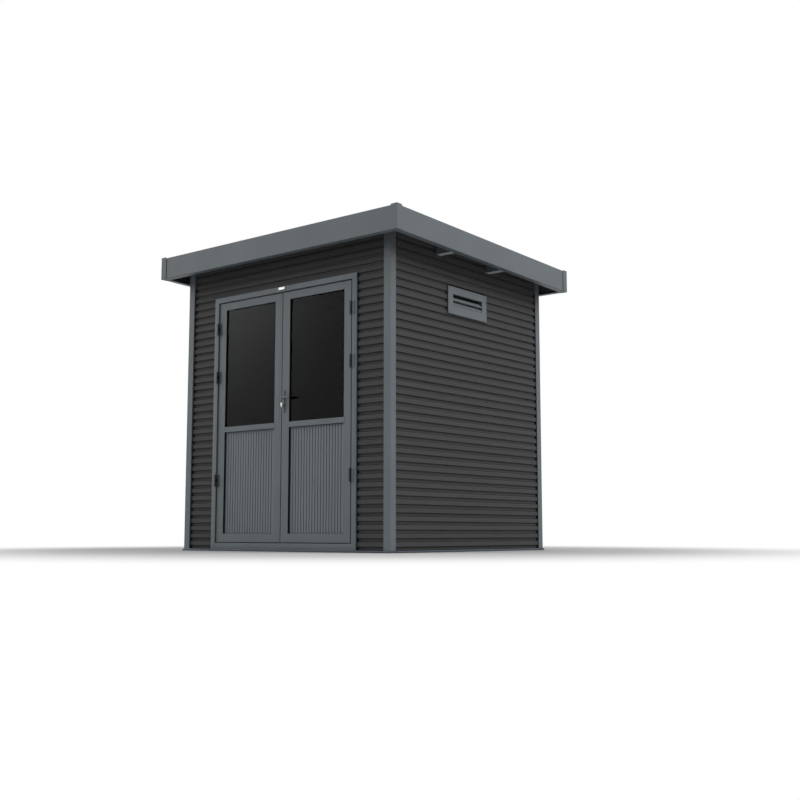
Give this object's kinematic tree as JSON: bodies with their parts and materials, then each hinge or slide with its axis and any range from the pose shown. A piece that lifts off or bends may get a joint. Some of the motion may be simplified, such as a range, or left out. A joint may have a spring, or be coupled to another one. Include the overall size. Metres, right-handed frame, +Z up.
{
  "type": "garden shed",
  "caption": "Small garden shed with dark ribbed cladding, a low sloping roof with a deep fascia, half-glazed double doors and a side vent.",
  "frame": {"origin": "middle of the plan over the roof edge, on the ground under the base rails", "axes": "+X to the right along the door front, +Y towards the back wall, +Z up"},
  "size_m": [2.342, 2.138, 2.242],
  "materials": {
    "composite_cladding": "matte, finely grained charcoal wood-plastic composite",
    "painted_aluminium": "satin anthracite grey powder coat",
    "frame_metal": "satin anthracite grey powder coat",
    "sill_metal": "dark blue-grey powder coat",
    "roof_sheet": "dark coated ribbed steel sheet",
    "smoked_glass": "dark smoked glazing",
    "dark_steel": "near-black hinge",
    "brushed_steel": "brushed"
  },
  "bodies": {
    "shed": {"back_wall": "composite_cladding", "door_frame_head": "painted_aluminium", "door_frame_left_hinges": "dark_steel", "door_frame_left_jamb": "painted_aluminium", "door_frame_right_hinges": "dark_steel", "door_frame_right_jamb": "painted_aluminium", "door_frame_threshold": "painted_aluminium", "door_head_plate": "brushed_steel", "end_roof_beams": "frame_metal", "fascia_back": "painted_aluminium", "fascia_corner_caps": "painted_aluminium", "fascia_front": "painted_aluminium", "fascia_left": "painted_aluminium", "fascia_right": "painted_aluminium", "front_wall_left": "composite_cladding", "front_wall_over_door": "composite_cladding", "front_wall_right": "composite_cladding", "left_wall": "composite_cladding", "post_back_left": "painted_aluminium", "post_back_right": "painted_aluminium", "post_front_left": "painted_aluminium", "post_front_right": "painted_aluminium", "purlins": "frame_metal", "right_wall_above_vent": "composite_cladding", "right_wall_behind_vent": "composite_cladding", "right_wall_below_vent": "composite_cladding", "right_wall_front_of_vent": "composite_cladding", "roof_sheet": "roof_sheet", "side_top_rails": "frame_metal", "sill_front_and_back": "sill_metal", "sill_sides": "sill_metal", "vent_blades": "painted_aluminium", "vent_plate_rails": "painted_aluminium", "vent_plate_sides": "painted_aluminium"},
    "left_door": {"left_door_glass": "smoked_glass", "left_door_hinges": "dark_steel", "left_door_rails": "painted_aluminium", "left_door_ribbed_panel": "painted_aluminium", "left_door_stiles": "painted_aluminium"},
    "right_door": {"right_door_glass": "smoked_glass", "right_door_handle_plates": "painted_aluminium", "right_door_hinges": "dark_steel", "right_door_lock_cylinder": "brushed_steel", "right_door_rails": "painted_aluminium", "right_door_ribbed_panel": "painted_aluminium", "right_door_stiles": "painted_aluminium"},
    "lever": {"right_door_lever": "painted_aluminium"}
  },
  "joints": [
    {"name": "left_door_hinge", "type": "hinge", "parent": "shed", "child": "left_door", "pos_m": [-0.6595, -0.933, 1], "axis": [0, 0, -1], "range_deg": [0, 110]},
    {"name": "right_door_hinge", "type": "hinge", "parent": "shed", "child": "right_door", "pos_m": [0.6595, -0.933, 1], "axis": [0, 0, 1], "range_deg": [0, 110]},
    {"name": "lever_turn", "type": "hinge", "parent": "right_door", "child": "lever", "pos_m": [0.02, -0.895, 1.078], "axis": [0, 1, 0], "range_deg": [0, 35], "stiffness_Nm_per_rad": 1.5, "springref_deg": -17.19}
  ]
}
